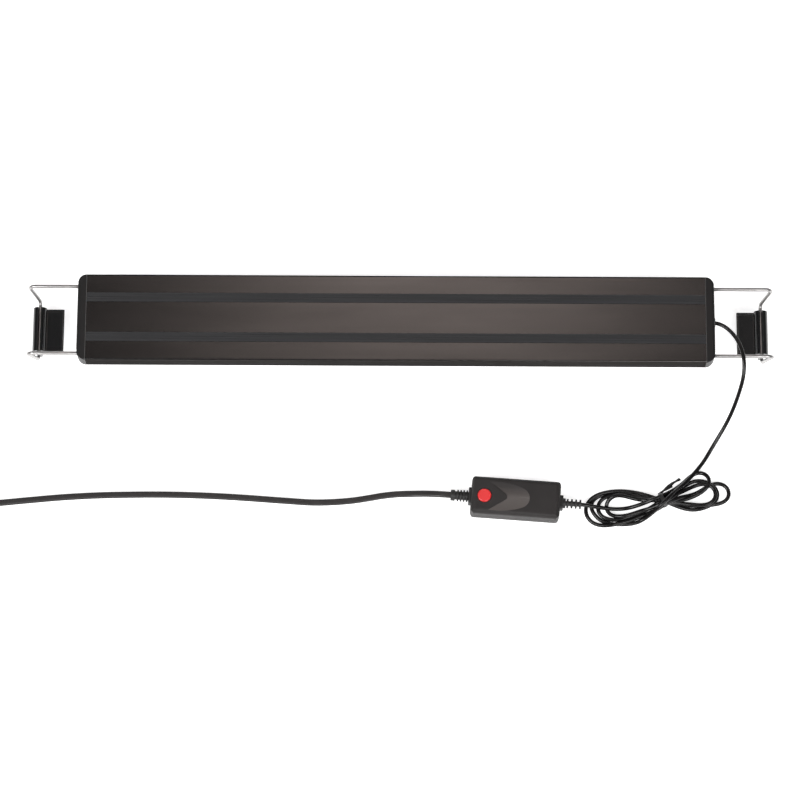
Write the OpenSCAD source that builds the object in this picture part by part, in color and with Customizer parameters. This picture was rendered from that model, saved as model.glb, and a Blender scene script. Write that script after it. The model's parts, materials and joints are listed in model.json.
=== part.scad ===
// Slim LED light for an aquarium. An aluminium housing hangs between two sliding wire brackets
// whose clips sit on the rims of the tank, and a lead runs through a small inline driver box.
// Millimetres. The light stands on its clips on z = 0, with its length along X and its LEDs facing down.

/* [Housing] */
// Overall length of the lamp body, end caps included
housing_l = 500; // [400:10:600]
// Width of the lamp body
housing_w = 70; // [66:1:80]
// Height of the lamp body
housing_h = 16; // [16:0.5:20]
// Wall thickness of the aluminium profile
wall = 1.6; // [1.4:0.1:2]
// Depth of each end cap along the body
cap_depth = 6.8; // [6:0.1:10]
// Corner radius of the end caps, seen from above
cap_corner = 8; // [4:0.1:8]
// Thickness of the silicone gaskets between profile and caps
gasket_t = 0.5; // [0.3:0.1:1]

/* [Brackets] */
// Diameter of the stainless bracket wire
wire_d = 3; // [2.6:0.1:3.4]
// How far the left bracket is pulled out of its cap
left_reach = 39.5; // [20:0.5:60]
// How far the right bracket is pulled out of its cap
right_reach = 46.5; // [35:0.5:60]
// Length of each bracket leg
leg_l = 121; // [115:1:150]
// How far the bracket drops from its legs to its crossbar
wire_drop = 30.5; // [25:0.5:35]

/* [Clips] */
// Width of each tank clip across the body
clip_w = 36; // [30:1:38]
// Thickness of the clip's flange and lip
clip_t = 3.4; // [2.5:0.1:4]
// Reach of the clip's flange from the crossbar
clip_reach = 19; // [14:0.5:20]

/* [Driver box] */
// Length of the driver box
driver_l = 70; // [60:1:90]
// Width of the driver box
driver_w = 30; // [26:1:36]
// Height of the driver box
driver_h = 21.5; // [20:0.5:28]
// Diameter of the power button
button_d = 10.6; // [9:0.1:12]
// How far the power button travels
button_travel = 1.5; // [1:0.1:2]

/* [Leads] */
// Diameter of the low voltage lead
lamp_cord_d = 3.2; // [2.8:0.1:3.8]
// Width of the flat mains lead
mains_cord_w = 5.2; // [4.8:0.1:6]
// Thickness of the flat mains lead
mains_cord_t = 3.2; // [3:0.1:3.6]

/* [LEDs] */
// LEDs in each of the three rows
leds_in_row = 24; // [12:1:30]

/* [Hidden] */
$fn = 48;
eps = 0.01;          // overrun of a cut past the face that it leaves
slip = 0.1;          // radial clearance of a sliding fit
hold = 0.02;         // radial clearance of a piece that grips another

// Housing
body_x = (left_reach - right_reach) / 2;   // middle of the body, so that the clips stand centred
body_z = 38;                               // underside of the body
axis_h = 7;                                // legs and lead, above the underside
leg_z = body_z + axis_h;
face_x = housing_l / 2;                    // outer face of a cap, from the middle of the body
profile_l = housing_l - 2 * (cap_depth + gasket_t);
corner_r = 1.5;                            // long edges of the body
roof_t = 1.8;
groove_in = 12.4;                          // inner edge of a ribbed strip, from the middle
groove_w = 7.4;
groove_deep = 0.5;
rib_w = 0.8;
rib_h = 0.35;
ribs = 3;
lens_t = 1.9;
lens_play = 0.2;                           // about the lens cover
lens_w = housing_w - 2 * (wall + lens_play);
lip_t = 0.9;                               // lips that carry the lens cover
lip_w = 1.8;
ledge_t = 0.8;                             // ledges that keep the lens cover down
web_y = 22.9;                              // inner face of the webs beside the LED board
web_t = 1.2;
web_foot = 5;                              // height of the webs' lower edge above the underside
port_y = 27.5;                             // screw ports
port_z = 12.6;
port_r = 2.4;
screw_r = 1.1;
screw_head_r = 2.2;
screw_head_h = 1.6;
screw_sunk = 0.5;                          // of the heads below the cap's face
screw_l = 14;
screw_cross = [3.2, 0.6, 0.8];             // length, width and depth of the cross recess
cap_wall = 2.5;
cap_room = [61, 11.5];                     // width and height of the cap's hollow
cap_edge = 2.2;                            // rounding of the cap's outer face
cap_blank = 50;                            // length of the block that a cap is cut from
guide_r = 3;                               // tubes in the caps that guide the bracket legs
guide_l = 8;                               // how far they reach into the profile
collar_l = 6;                              // collar that centres a cap between the webs
collar_h = 8.5;
collar_wall = 1.5;
collar_play = 0.3;
grommet_r = 2.5;                           // where it fills the cap's hole
grommet_flange_r = 3.6;
grommet_lip_r = 3.4;
grommet_rim = 0.8;                         // thickness of its flange and its lip
lead_way_r = 3.7;                          // way of the lead through the right cap's collar

// LEDs
board_l = 470;
board_w = 45;
board_t = 1.6;
pad_t = 0.4;
led_size = [5.6, 3, 0.9];
led_row_gap = 14;
led_pitch = (board_l - 20) / leds_in_row;
core_d = 1.2;                              // cores of the lead, inside the body
blue_every = 4;                            // every fourth LED of the outer rows is blue
roof_z = housing_h - roof_t;               // underside of the roof, from the underside of the body
board_z = roof_z - pad_t - board_t;
// One core from the lead's end to its joint on the board, at y = 1 from the lead's middle
core_route = [[243.5, 0.7, leg_z], [241, 1, leg_z], [238, 2, 46.3], [234, 4, 47.6],
    [229, 5, 48.7], [225, 5, body_z + board_z - core_d / 2]];

// Brackets
wire_r = wire_d / 2;
leg_y = 27.3;                              // legs, on each side of the middle
bend_steps = 6;
bend_inset = 0.5;                          // of a bend's ends into the straight runs
bend_thin = 0.03;                          // of a bend's diameter below the wire's
bar_y = 24;                                // where the drops meet the crossbar
bar_z = leg_z - wire_drop;
wire_lean = 6.5;                           // crossbar inboard of the legs' corners
bend_r = 4.2;
stop_r = 2.3;
stop_l = 6;

// Clips
barrel_r = 5.5;
flange_top = -2;                           // from the crossbar's axis
lip_end = -bar_z;                          // the lip stands on z = 0
slit_w = 1.9;
clip_play = 0.08;                          // of the bore about the crossbar
clip_edge = 1.2;                           // rounding of the flange's and lip's ends

// Driver box
driver_pos = [91, -135.5, 0];
driver_turn = -4;
shell_t = 2;
edge_r = 4;
hollow_r = 1.6;                            // long edges of the box's hollow
seam_z = 10.8;
seam_gap = 0.1;
boot_z = 10.8;                             // height of both leads where they leave the box
neck_r = 3;
button_at = [-24.6, -0.8];
button_proud = 1.2;
button_gap = 0.3;
scoop_deep = 0.8;                          // thumb scoop beside the button
scoop_half = 11.5;                         // half its width, where it is widest
scoop_side_r = 56.5;                       // radius of its long sides
scoop_mid = 10;                            // where it is widest, from the button's middle
scoop_tip = [27.3, 8.2];                   // centre and radius of its round tip
scoop_heel = [[-3, 13], [14.7, 3]];        // centre and radius of its edge about the button
headroom = 0.2;                            // extra thickness of the box's roof
pcb = [57, 22, 1.6];
pcb_pos = [1, 0, 4.4];                     // middle of its underside, from the box's middle
board_top = pcb_pos.z + pcb.z;
transformer_pos = [9, 0];
transformer_core = [14, 16, 11];
transformer_coil = [9, 19, 8];
transformer_coil_z = 1.5;
capacitor_pos = [22, 5.5];
capacitor_r = 4;
capacitor_h = 10.5;
switch_w = 8;
switch_top = 11.5;
plunger_r = 1.2;
plunger_top = 16;
flange_h = 1;                              // the button's retaining flange
flange_w = 0.9;
button_rest = driver_h + button_proud;     // top of the button
button_edge = 0.5;
flange_z = driver_h - shell_t - headroom - flange_h;
stem_r = 2;                                // hollow stem of the button, around the plunger
stem_play = 0.15;
stem_gap = 0.2;                            // above what the stem and its hollow come down on
stem_z = switch_top + button_travel + stem_gap;
spring_r = 2.8;
spring_wire = 0.5;
spring_turns = 4;

// Boots
inlet_l = 16;
inlet_collar = [3.4, 4.4];                 // length and radius of the collar at its end
inlet_socket = 6;                          // depth of the lead's seat in the boot
outlet_l = 16.8;
outlet_collar = [2, 4];                    // length and radius of the collar on its flange
outlet_flange_t = 2.4;
outlet_socket = 5;
boot_collar = [1, 1.2];                    // thickness and width of the collar inside the wall
boot_corner = 2;

// Low voltage lead, from the grommet over the wire, down to the table and into its hank
lamp_route = [[244, 0, 45], [249, 0, 45], [253, -2, 45.6], [257, -5, 46.3], [261, -9.5, 47.1],
    [264.5, -15, 47.9], [267, -21, 48.4], [268.6, -27, 48.5], [269.3, -32, 47.8],
    [269.4, -37, 46], [269.1, -42, 43.2], [268.2, -47, 39.6], [266.7, -52, 35.2],
    [264.8, -58, 29.3], [262, -65, 22.4], [258.6, -72, 15.8], [254.4, -79, 10.2],
    [249.6, -86.5, 5.8], [245, -94, 3], [240.5, -101.5, 2], [236, -107.5, 2.8],
    [232, -112.4, 4.4], [228.5, -116.4, 6.2], [225.2, -120, 7.8]];
tail_route = [[139.7, -138.9, 10.8], [142.7, -139.1, 10.8], [146, -139.4, 10.3],
    [149.5, -139.8, 9.3], [153, -140.2, 8.5]];

// Hank of the low voltage lead: two lobes about the tie
tie_pos = [205, -132, 0];
tie_turn = 40;
hank_h = 8;
waist_z = 1.2;                             // the tie passes under the waist
waist_w = 11;
waist_h = 8;
waist_cut = 30;                            // width of the gap between the lobes
tie_t = 1;
tie_w = 6;
left_lobe = [[163, -140.3, 14.6], [197, -132.5, 6]];    // centre and radius of each end
right_lobe = [[243.5, -127, 13], [214, -131.5, 6]];

// Mains lead, from the driver box along the table to its coil
mains_route = [[44, -132.2, 10.8], [40, -131.9, 10.8], [35, -131.5, 10.6], [30, -131, 9.6],
    [25, -130.4, 7.8], [20, -129.8, 5.6], [15, -129.4, 3.7], [10, -129.2, 2.4], [5, -129.2, 1.8],
    [-3, -129.5, 1.6], [-14, -130.8, 1.6], [-25, -132.8, 1.6], [-38, -134.8, 1.6],
    [-52, -136, 1.6], [-68, -136.4, 1.6], [-86, -135.4, 1.6], [-106, -134, 1.6],
    [-130, -132.4, 1.6], [-156, -131.2, 1.6], [-184, -130.6, 1.6], [-212, -130.8, 1.6],
    [-240, -131.6, 1.6], [-266, -133.2, 1.6], [-292, -135.6, 1.6], [-316, -138, 1.6],
    [-336, -139.4, 1.6], [-350, -139.8, 1.6]];
tail_to_plug = [[-389.8, -108, 1.6], [-390, -101, 2.2], [-390, -94, 3.8], [-390, -87, 5.6],
    [-390, -80, 6.6]];
coil_pos = [-358, -108, 0];
coil_in = 23.8;
coil_out = 34.6;
coil_h = 6.6;
coil_tie_w = 6;
coil_tie_t = 1;
coil_tie_play = 0.2;
coil_bow = 0.6;                            // room for the coil's inner curve under the tie

// Plug
plug_pos = [-390, -80, 6.8];
plug_l = 36;
plug_t = 13.6;
plug_w = 26;
plug_r = 5;                                // of its long edges
plug_head_l = 16;                          // wider end that carries the pins
plug_grip = [18, 11.6, 4];                 // width, thickness and radius of the narrower grip
plug_grip_l = 24;
pin_r = 2;
pin_l = 19;
pin_tip = [1, 1.2];                        // height and end radius of the tapered tip
pin_gap = 18.6;
pin_root = [6, 1.5];                       // depth in the plug and radius there

// ---- Vectors, sweeps and rounded shapes ----

function unit(v) = v / norm(v);

// Direction of a route at its point i
function heading(route, i) =
    unit(route[min(i + 1, len(route) - 1)] - route[max(i - 1, 0)]);

// Ring of w by t about point i of a route, with its thickness nearest to the direction up
function ring(route, i, w, t, sides, up) =
    let (d = heading(route, i), s = unit(cross(up, d)), u = cross(d, s))
    [for (k = [0:sides - 1])
        let (a = 360 * (k + 0.5) / sides) route[i] + w / 2 * cos(a) * s + t / 2 * sin(a) * u];

// A lead or a wire as one polyhedron swept along its route
module sweep(route, w, t, sides = 8, up = [0, 0, 1]) {
    n = len(route);
    points = [for (i = [0:n - 1]) each ring(route, i, w, t, sides, up)];
    skin = [for (i = [0:n - 2], k = [0:sides - 1])
        let (a = i * sides + k, b = i * sides + (k + 1) % sides)
        each [[a, b + sides, b], [a, a + sides, b + sides]]];
    start = [for (k = [0:sides - 1]) k];
    finish = [for (k = [sides - 1:-1:0]) (n - 1) * sides + k];
    polyhedron(points, concat([start], skin, [finish]), convexity = 6);
}

// Length that a bend of radius r takes from each side of the corner p
function corner_cut(a, p, b, r) = r * tan(acos(unit(p - a) * unit(b - p)) / 2);

// Points of a round bend at the corner p, between the straight runs from a and to b
function bend_points(a, p, b, r, steps) =
    let (d1 = unit(p - a), d2 = unit(b - p), turn = acos(d1 * d2),
        start = p - d1 * r * tan(turn / 2), side = unit(d2 - d1 * (d1 * d2)))
    [for (i = [0:steps])
        let (t = turn * i / steps) start + r * sin(t) * d1 + r * (1 - cos(t)) * side];

// Rectangle of w by h about the origin, with true arcs at its corners
module rounded(w, h, r) {
    square([w - 2 * r, h], center = true);
    square([w, h - 2 * r], center = true);
    for (x = [-1, 1], y = [-1, 1])
        translate([x * (w / 2 - r), y * (h / 2 - r)]) circle(r);
}

// Block rounded with true arcs on all its edges, standing on z = 0
module soft_block(l, w, h, r) {
    intersection() {
        linear_extrude(h) rounded(l, w, r);
        translate([0, w / 2 + eps, h / 2]) rotate([90, 0, 0])
            linear_extrude(w + 2 * eps) rounded(l, h, r);
        translate([-l / 2 - eps, 0, h / 2]) rotate([90, 0, 90])
            linear_extrude(l + 2 * eps) rounded(w, h, r);
    }
}

// Draws a profile given in Y and Z, from the underside of the body, along X
module along_body(from, to) {
    translate([body_x + from, 0, body_z]) rotate([90, 0, 90])
        linear_extrude(to - from) children();
}

// Turns the right end of the lamp into the left one
module at_end(side) {
    translate([body_x, 0, 0]) mirror([side < 0 ? 1 : 0, 0, 0]) children();
}

// ---- Lamp body ----

module body_outline() {
    translate([0, housing_h / 2]) rounded(housing_w, housing_h, corner_r);
}

module mirrored_y() {
    children();
    mirror([1, 0]) children();
}

module housing_profile() {
    inner = housing_w / 2 - wall;
    difference() {
        body_outline();
        difference() {
            translate([-inner, lip_t]) square([2 * inner, roof_z - lip_t]);
            mirrored_y() {
                translate([web_y, web_foot]) square([web_t, housing_h]);
                translate([inner - lip_w, lip_t + lens_t + lens_play])
                    square([lip_w + 1, ledge_t]);
                translate([port_y, port_z]) circle(port_r);
            }
        }
        translate([lip_w - inner, -1]) square([2 * (inner - lip_w), 2 + lip_t]);
        mirrored_y() {
            translate([port_y, port_z]) circle(screw_r + hold);
            ribbed_groove();
        }
    }
}

// Shallow strip along the top of the body with fine ribs on its floor
module ribbed_groove() {
    difference() {
        translate([groove_in, housing_h - groove_deep]) square([groove_w, groove_deep + 1]);
        for (i = [1:ribs])
            translate([groove_in + i * groove_w / (ribs + 1) - rib_w / 2, housing_h - 1])
                square([rib_w, 1 - groove_deep + rib_h]);
    }
}

module housing_extrusion() {
    color([0.2, 0.2, 0.2]) along_body(-profile_l / 2, profile_l / 2) housing_profile();
}

// Cap of the right end; the left one mirrors it. The cord's hole is in the right one only.
module end_cap(side) {
    color([0.16, 0.16, 0.16]) at_end(side) translate([0, 0, body_z]) {
        difference() {
            cap_shell();
            for (y = [-leg_y, leg_y])
                rod_x(face_x - cap_depth - guide_l - 1, face_x + 1, y, axis_h, wire_r + slip);
            for (y = [-port_y, port_y]) {
                rod_x(face_x - cap_depth - 1, face_x + 1, y, port_z, screw_r + slip);
                rod_x(face_x - screw_head_h - screw_sunk, face_x + 1, y, port_z, screw_head_r + slip);
            }
            if (side > 0) {
                rod_x(face_x - cap_wall - 1, face_x + 1, 0, axis_h, grommet_r);
                rod_x(face_x - cap_depth - collar_l - 1, face_x - cap_wall, 0, axis_h, lead_way_r);
            }
        }
    }
}

module rod_x(from, to, y, z, r) {
    translate([from, y, z]) rotate([0, 90, 0]) cylinder(h = to - from, r = r);
}

module cap_shell() {
    back = face_x - cap_depth;
    difference() {
        cap_block();
        difference() {
            translate([back - eps, -cap_room.x / 2, cap_wall])
                cube([cap_depth - cap_wall + eps, cap_room.x, cap_room.y]);
            for (y = [-leg_y, leg_y]) rod_x(back - 1, face_x - 1, y, axis_h, guide_r);
            for (y = [-port_y, port_y]) rod_x(back - 1, face_x - 1, y, port_z, port_r);
        }
    }
    for (y = [-leg_y, leg_y]) rod_x(back - guide_l, face_x - 1, y, axis_h, guide_r);
    cap_collar(back);
}

// Outer form of a cap: the body's section with the two outer corners and the edges rounded
module cap_block() {
    intersection() {
        translate([face_x - cap_depth, 0, 0]) rotate([90, 0, 90])
            linear_extrude(cap_depth) body_outline();
        linear_extrude(housing_h) translate([face_x - cap_blank / 2, 0])
            rounded(cap_blank, housing_w, cap_corner);
        translate([face_x - cap_blank / 2, housing_w / 2 + 1, housing_h / 2]) rotate([90, 0, 0])
            linear_extrude(housing_w + 2) rounded(cap_blank, housing_h, cap_edge);
    }
}

// Collar that centres the cap between the webs of the profile
module cap_collar(back) {
    half = web_y - collar_play;
    difference() {
        translate([back - collar_l, -half, web_foot])
            cube([cap_depth + collar_l - 1, 2 * half, collar_h]);
        translate([back - collar_l - 1, collar_wall - half, web_foot + collar_wall])
            cube([cap_depth + collar_l + 1 - cap_wall, 2 * (half - collar_wall),
                collar_h - 2 * collar_wall]);
    }
}

module end_gasket(side) {
    color([0.75, 0.74, 0.7]) at_end(side)
        translate([face_x - cap_depth - gasket_t, 0, body_z]) rotate([90, 0, 90])
            linear_extrude(gasket_t) difference() {
                body_outline();
                translate([slip - web_y, web_foot - slip])
                    square([2 * (web_y - slip), collar_h + 2 * slip]);
                mirrored_y() {
                    translate([leg_y, axis_h]) circle(guide_r + 2 * slip);
                    translate([port_y, port_z]) circle(screw_r + slip);
                }
            }
}

// Two identical self-tapping screws
module cap_screws(side) {
    z = body_z + port_z;
    head_x = face_x - screw_sunk;
    color([0.6, 0.6, 0.62]) at_end(side) for (y = [-port_y, port_y]) difference() {
        union() {
            rod_x(head_x - screw_head_h, head_x, y, z, screw_head_r);
            rod_x(face_x - screw_l, head_x - 1, y, z, screw_r);
        }
        for (turn = [0, 90]) translate([head_x, y, z]) rotate([turn, 0, 0])
            cube([2 * screw_cross.z, screw_cross.x, screw_cross.y], center = true);
    }
}

module lens_cover() {
    color([0.92, 0.94, 0.95]) along_body(lens_play - profile_l / 2, profile_l / 2 - lens_play)
        translate([-lens_w / 2, lip_t + lens_play / 4]) square([lens_w, lens_t]);
}

// ---- LEDs and wiring inside the body ----

module thermal_pad() {
    color([0.55, 0.6, 0.7]) translate([body_x - board_l / 2, -board_w / 2, body_z + roof_z - pad_t])
        cube([board_l, board_w, pad_t]);
}

module led_board() {
    color("white") translate([body_x - board_l / 2, -board_w / 2, body_z + board_z])
        cube([board_l, board_w, board_t]);
}

function is_blue(row, i) = row != 0 && (i + 3) % blue_every == 0;

module leds(blue) {
    for (row = [-1:1], i = [0:leds_in_row - 1]) if (is_blue(row, i) == blue)
        translate([body_x + (i - (leds_in_row - 1) / 2) * led_pitch, row * led_row_gap,
            body_z + board_z - led_size.z / 2]) cube(led_size, center = true);
}

module white_leds() {
    color([1, 0.95, 0.7]) leds(false);
}

module blue_leds() {
    color([0.3, 0.45, 0.95]) leds(true);
}

// The lead's two cores, from its end inside the cap to the board
module led_leads() {
    color([0.7, 0.1, 0.1]) for (side = [-1, 1])
        sweep([for (p = core_route) [p.x, side * p.y, p.z]], core_d, core_d);
}

// Rubber bush that holds the lead in the right cap
module cord_grommet() {
    color([0.1, 0.1, 0.1]) at_end(1) difference() {
        union() {
            rod_x(face_x - cap_wall, face_x, 0, leg_z, grommet_r);
            rod_x(face_x, face_x + grommet_rim, 0, leg_z, grommet_flange_r);
            rod_x(face_x - cap_wall - grommet_rim, face_x - cap_wall, 0, leg_z, grommet_lip_r);
        }
        rod_x(face_x - cap_wall - 1, face_x + 1, 0, leg_z, lamp_cord_d / 2 + hold);
    }
}

// ---- Brackets and clips ----

function reach(side) = side > 0 ? right_reach : left_reach;
function bar_x(side) = face_x + reach(side) - wire_lean;

// Front half of the right bracket's wire: end of the leg, its corner, the crossbar's end and
// the crossbar's middle
function wire_corners(side) =
    let (tip = face_x + reach(side))
    [[tip - leg_l, -leg_y, leg_z], [tip, -leg_y, leg_z], [bar_x(side), -bar_y, bar_z],
     [bar_x(side), 0, bar_z]];

// The two straight runs are true cylinders; the drop between them with its bends is swept
module bracket_wire(side) {
    p = wire_corners(side);
    leg_end = p[1].x - corner_cut(p[0], p[1], p[2], bend_r);
    bar_end = bar_y - corner_cut(p[1], p[2], p[3], bend_r);
    drop = concat([[leg_end - bend_inset, -leg_y, leg_z]],
        bend_points(p[0], p[1], p[2], bend_r, bend_steps),
        bend_points(p[1], p[2], p[3], bend_r, bend_steps),
        [[bar_x(side), bend_inset - bar_end, bar_z]]);
    color([0.8, 0.8, 0.8]) at_end(side) {
        for (y = [0, 1]) mirror([0, y, 0]) {
            rod_x(p[0].x, leg_end, -leg_y, leg_z, wire_r);
            sweep(drop, wire_d - bend_thin, wire_d - bend_thin, 16, [1, -1, 1]);
        }
        translate([bar_x(side), bar_end, bar_z]) rotate([90, 0, 0])
            cylinder(h = 2 * bar_end, r = wire_r);
    }
}

// Sleeves crimped on the ends of the legs, which stop the bracket from coming out
module wire_stops(side) {
    end = face_x + reach(side) - leg_l;
    color([0.3, 0.3, 0.3]) at_end(side) for (y = [-leg_y, leg_y]) difference() {
        rod_x(end, end + stop_l, y, leg_z, stop_r);
        rod_x(end - 1, end + stop_l + 1, y, leg_z, wire_r + hold);
    }
}

// Section of the right clip about the crossbar: flange towards the lamp, lip downwards
module clip_profile() {
    difference() {
        union() {
            circle(barrel_r);
            translate([-clip_reach / 2, flange_top - clip_t / 2])
                rounded(clip_reach, clip_t, clip_edge);
            translate([0, lip_end / 2]) rounded(clip_t, -lip_end, clip_edge);
        }
        circle(wire_r + clip_play);
        translate([-slit_w / 2, 0]) square([slit_w, barrel_r + 1]);
    }
}

module tank_clip(side) {
    color([0.08, 0.08, 0.08]) at_end(side) translate([bar_x(side), clip_w / 2, bar_z])
        rotate([90, 0, 0]) linear_extrude(clip_w) clip_profile();
}

// ---- Low voltage lead ----

module lamp_cord() {
    color([0.12, 0.12, 0.12]) sweep(lamp_route, lamp_cord_d, lamp_cord_d);
}

module lamp_cord_tail() {
    color([0.12, 0.12, 0.12]) sweep(tail_route, lamp_cord_d, lamp_cord_d);
}

// One lobe of the hank, seen from above: a large and a small round end
module lobe(ends) {
    hull() for (e = ends) translate([e.x, e.y]) circle(e.z, $fn = 32);
}

module at_waist() {
    translate(tie_pos) rotate(tie_turn) children();
}

module lamp_cord_hank() {
    color([0.12, 0.12, 0.12]) {
        difference() {
            linear_extrude(hank_h) {
                lobe(left_lobe);
                lobe(right_lobe);
            }
            at_waist() translate([-tie_w / 2 - tie_t, -waist_cut / 2, -1])
                cube([tie_w + 2 * tie_t, waist_cut, 2 * hank_h]);
        }
        at_waist() translate([-tie_w / 2 - tie_t, -waist_w / 2, waist_z])
            cube([tie_w + 2 * tie_t, waist_w, waist_h]);
    }
}

module hank_tie() {
    color([0.1, 0.1, 0.1]) at_waist() difference() {
        translate([-tie_w / 2, -waist_w / 2 - tie_t, waist_z - tie_t])
            cube([tie_w, waist_w + 2 * tie_t, waist_h + 2 * tie_t]);
        translate([-tie_w, -waist_w / 2, waist_z]) cube([2 * tie_w, waist_w, waist_h]);
    }
}

// ---- Driver box ----

module on_driver() {
    translate(driver_pos) rotate(driver_turn) children();
}

module driver_solid() {
    soft_block(driver_l, driver_w, driver_h, edge_r);
}

module driver_hollow() {
    translate([0, 0, shell_t]) soft_block(driver_l - 2 * shell_t, driver_w - 2 * shell_t,
        driver_h - 2 * shell_t - headroom, hollow_r);
}

// Holes in the end walls for the necks of both boots
module boot_holes() {
    for (x = [-1, 1]) translate([x * driver_l / 2 - shell_t - 1, 0, boot_z])
        rotate([0, 90, 0]) cylinder(h = 2 * shell_t + 2, r = neck_r + hold);
}

// Outline of the thumb scoop beside the button, seen from above, with the button at the origin
module scoop_outline() {
    side_y = scoop_side_r - scoop_half;
    // where a long side runs into the round tip
    meet_x = scoop_mid + (scoop_tip.x - scoop_mid) * scoop_side_r / norm([scoop_tip.x - scoop_mid, side_y]);
    difference() {
        union() {
            intersection() {
                translate([scoop_mid, -side_y]) circle(scoop_side_r, $fn = 120);
                translate([scoop_mid, side_y]) circle(scoop_side_r, $fn = 120);
                translate([0, -scoop_half]) square([meet_x, 2 * scoop_half]);
            }
            translate([scoop_tip.x, 0]) circle(scoop_tip.y);
        }
        hull() for (e = scoop_heel) translate([e.x, 0]) circle(e.y, $fn = 32);
    }
}

module driver_case_upper() {
    color([0.15, 0.15, 0.15]) on_driver() difference() {
        driver_solid();
        driver_hollow();
        translate([-driver_l, -driver_w, -1])
            cube([2 * driver_l, 2 * driver_w, seam_z + seam_gap / 2 + 1]);
        boot_holes();
        translate([button_at.x, button_at.y, driver_h / 2])
            cylinder(h = driver_h, r = button_d / 2 + button_gap);
        translate([button_at.x, button_at.y, driver_h - scoop_deep])
            linear_extrude(scoop_deep + 1) scoop_outline();
    }
}

module driver_case_lower() {
    color([0.15, 0.15, 0.15]) on_driver() difference() {
        driver_solid();
        driver_hollow();
        translate([-driver_l, -driver_w, seam_z - seam_gap / 2])
            cube([2 * driver_l, 2 * driver_w, driver_h]);
        boot_holes();
    }
}

module driver_board() {
    color([0.1, 0.4, 0.2]) on_driver() translate(pcb_pos) block(pcb);
}

// Block standing on z = 0 about the vertical axis
module block(size) {
    translate([-size.x / 2, -size.y / 2, 0]) cube(size);
}

module transformer() {
    color([0.85, 0.75, 0.2]) on_driver()
        translate([transformer_pos.x, transformer_pos.y, board_top]) {
            block(transformer_core);
            translate([0, 0, transformer_coil_z]) block(transformer_coil);
        }
}

module capacitors() {
    color([0.15, 0.2, 0.5]) on_driver() for (side = [-1, 1])
        translate([capacitor_pos.x, side * capacitor_pos.y, board_top])
            cylinder(h = capacitor_h, r = capacitor_r);
}

module power_switch() {
    color([0.3, 0.3, 0.32]) on_driver() translate([button_at.x, button_at.y, board_top]) {
        block([switch_w, switch_w, switch_top - board_top]);
        cylinder(h = plunger_top - board_top, r = plunger_r);
    }
}

// Return spring under the button
module button_spring() {
    low = spring_wire / 2 + hold;
    rise = flange_z - switch_top - 2 * low;
    steps = 10;
    n = spring_turns * steps;
    helix = [for (i = [0:n]) [spring_r * cos(360 * i / steps), spring_r * sin(360 * i / steps),
        low + rise * i / n]];
    color([0.75, 0.75, 0.78]) on_driver() translate([button_at.x, button_at.y, switch_top])
        sweep(helix, spring_wire, spring_wire, 6);
}

module power_button() {
    r = button_d / 2;
    socket_top = plunger_top + button_travel + stem_gap;
    color([0.85, 0.15, 0.15]) on_driver() translate([button_at.x, button_at.y, 0])
        rotate_extrude() difference() {
            polygon([[0, stem_z], [stem_r, stem_z], [stem_r, flange_z], [r + flange_w, flange_z],
                [r + flange_w, flange_z + flange_h], [r, flange_z + flange_h],
                [r, button_rest - button_edge], [r - button_edge, button_rest],
                [0, button_rest]]);
            translate([0, stem_z - 1])
                square([plunger_r + stem_play, socket_top - stem_z + 1]);
        }
}

// Strain relief of the mains lead: flange, ribbed body and end collar, drawn along +X
module boot_form(length, flange_t, flange_h, core_r, rib_r, rib_t, pitch, first, count) {
    neck_l = shell_t + boot_collar.x + slip;   // through the end wall, to the collar inside it
    rotate([0, 90, 0]) cylinder(h = length, r = core_r);
    translate([-neck_l, 0, 0]) rotate([0, 90, 0]) {
        cylinder(h = neck_l + 1, r = neck_r);
        cylinder(h = boot_collar.x, r = neck_r + boot_collar.y);
    }
    rotate([90, 0, 90]) linear_extrude(flange_t)
        rounded(flange_h, flange_h, boot_corner);
    for (i = [0:count - 1]) translate([first + i * pitch, 0, 0]) rotate([0, 90, 0])
        cylinder(h = rib_t, r = rib_r);
}

module inlet_boot() {
    color([0.1, 0.1, 0.1]) on_driver() translate([-driver_l / 2, 0, boot_z])
        rotate(180) difference() {
            union() {
                boot_form(length = inlet_l, flange_t = 2, flange_h = 12.6, core_r = 3.4,
                    rib_r = 4.7, rib_t = 1.35, pitch = 2.4, first = 2.5, count = 4);
                translate([inlet_l - inlet_collar.x, 0, 0]) rotate([0, 90, 0])
                    cylinder(h = inlet_collar.x, r = inlet_collar.y);
            }
            translate([inlet_l - inlet_socket, 0, 0]) rotate([90, 0, 90])
                linear_extrude(inlet_socket + 1)
                    rounded(mains_cord_w + slip, mains_cord_t + slip, mains_cord_t / 2);
        }
}

module outlet_boot() {
    color([0.1, 0.1, 0.1]) on_driver() translate([driver_l / 2, 0, boot_z]) difference() {
        union() {
            boot_form(length = outlet_l, flange_t = outlet_flange_t, flange_h = 11, core_r = 2.05,
                rib_r = 3.75, rib_t = 1.4, pitch = 3.3, first = 5.3, count = 4);
            translate([outlet_flange_t, 0, 0]) rotate([0, 90, 0])
                cylinder(h = outlet_collar.x, r = outlet_collar.y);
        }
        translate([outlet_l - outlet_socket, 0, 0]) rotate([0, 90, 0])
            cylinder(h = outlet_socket + 1, r = lamp_cord_d / 2 + hold);
    }
}

// ---- Mains lead ----

module mains_cord() {
    color([0.13, 0.13, 0.13]) sweep(mains_route, mains_cord_w, mains_cord_t);
}

module mains_tail() {
    color([0.13, 0.13, 0.13]) sweep(tail_to_plug, mains_cord_w, mains_cord_t);
}

// Section of the coil, above the height low
module coil_section(low) {
    translate([coil_in, low]) square([coil_out - coil_in, coil_h - low]);
}

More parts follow.
